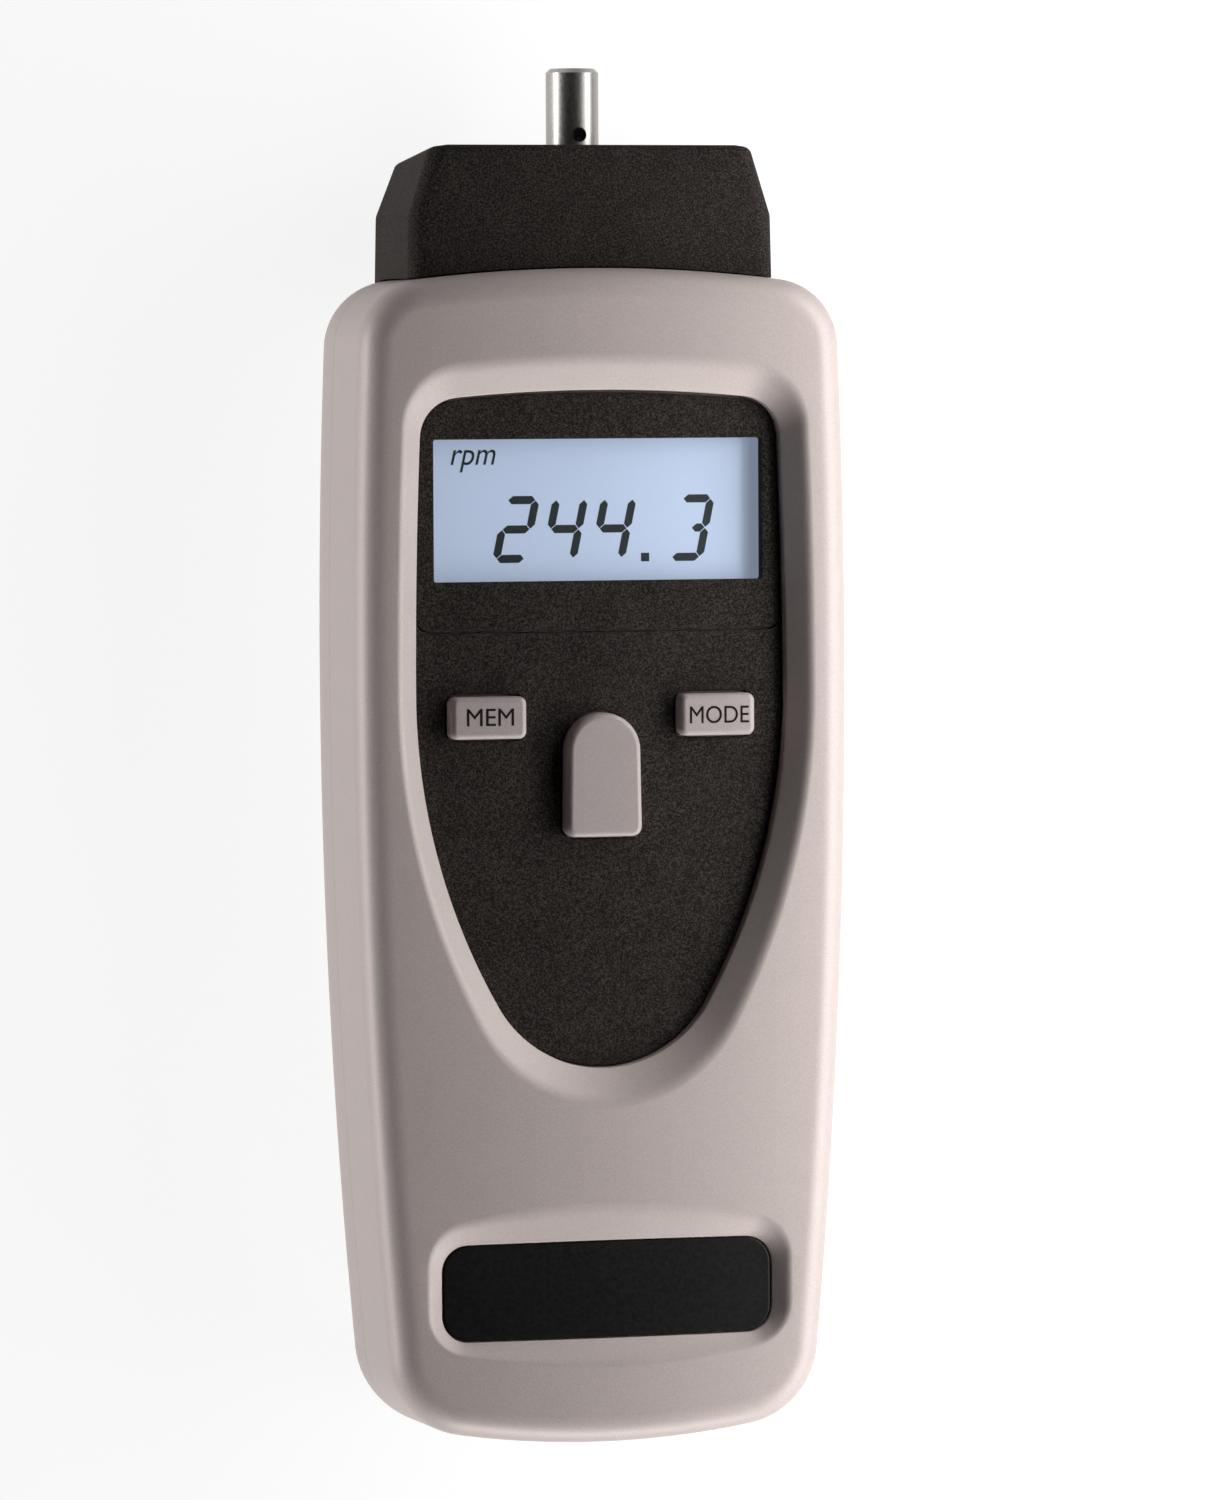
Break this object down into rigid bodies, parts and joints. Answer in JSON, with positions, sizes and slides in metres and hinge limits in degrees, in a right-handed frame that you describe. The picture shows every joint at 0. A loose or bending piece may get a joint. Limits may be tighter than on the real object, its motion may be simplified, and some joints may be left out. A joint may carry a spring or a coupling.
{
  "type": "handheld tachometer",
  "caption": "Hand-held tachometer: rounded shell housing with display pod and press keys, and a plug-on contact adapter whose steel spindle spins in bushes.",
  "frame": {"origin": "middle of the whole part's box, on the plane that its back lies on", "axes": "+Y along the instrument towards the spindle, +Z out of the display, +X to the right of the display"},
  "size_m": [0.06, 0.161, 0.0265],
  "materials": {
    "silver_paint": "satin metallic paint",
    "black_plastic": "spark-eroded grain",
    "key_plastic": "satin",
    "label_black": "smooth film",
    "clear_window": "clear",
    "lcd_glass": "backlit display",
    "spindle_steel": "turned",
    "screw_steel": "zinc plated",
    "bush_bronze": "sintered",
    "board_green": "solder mask",
    "dome_rubber": "matte",
    "cell_jacket": "plain jacket",
    "rotor_white": "reflective",
    "emitter_red": "clear red"
  },
  "bodies": {
    "housing": {"front_shell": "silver_paint", "rear_shell": "silver_paint", "display_bezel": "black_plastic", "keypad_panel": "black_plastic", "label_plate": "label_black", "display_window": "clear_window", "lcd_cell": "lcd_glass", "lcd_strips": "dome_rubber", "measure_dome": "dome_rubber", "mem_dome": "dome_rubber", "mode_dome": "dome_rubber", "circuit_board": "board_green", "board_chips": "black_plastic", "board_screws": "screw_steel", "housing_screws": "screw_steel", "battery_cells": "cell_jacket", "battery_springs": "spindle_steel", "battery_plates": "spindle_steel", "optic_holder": "black_plastic", "emitter_diode": "emitter_red", "receiver_diode": "black_plastic", "optic_window": "clear_window"},
    "adapter": {"adapter_housing": "black_plastic", "adapter_base": "black_plastic", "bearing_bracket": "screw_steel", "front_bush": "bush_bronze", "rear_bush": "bush_bronze", "adapter_screws": "screw_steel"},
    "spindle_shaft": {"spindle": "spindle_steel", "rotor_disc": "rotor_white", "retaining_ring": "screw_steel"},
    "measure_key": {"measure_button": "key_plastic"},
    "mem_key": {"mem_button": "key_plastic"},
    "mode_key": {"mode_button": "key_plastic"},
    "door": {"battery_door": "silver_paint"}
  },
  "joints": [
    {"name": "adapter_pull", "type": "slide", "parent": "housing", "child": "adapter", "axis": [0, 1, 0], "range_m": [0, 0.02]},
    {"name": "spindle_spin", "type": "hinge", "parent": "adapter", "child": "spindle_shaft", "pos_m": [0, 0.06, 0.0132], "axis": [0, 1, 0], "continuous": true},
    {"name": "measure_press", "type": "slide", "parent": "housing", "child": "measure_key", "axis": [0, 0, -1], "range_m": [0, 0.001], "stiffness_N_per_m": 1200, "deforming": ["measure_dome"]},
    {"name": "mem_press", "type": "slide", "parent": "housing", "child": "mem_key", "axis": [0, 0, -1], "range_m": [0, 0.001], "stiffness_N_per_m": 1200, "deforming": ["mem_dome"]},
    {"name": "mode_press", "type": "slide", "parent": "housing", "child": "mode_key", "axis": [0, 0, -1], "range_m": [0, 0.001], "stiffness_N_per_m": 1200, "deforming": ["mode_dome"]},
    {"name": "door_slide", "type": "slide", "parent": "housing", "child": "door", "axis": [0, -1, 0], "range_m": [0, 0.008]}
  ]
}
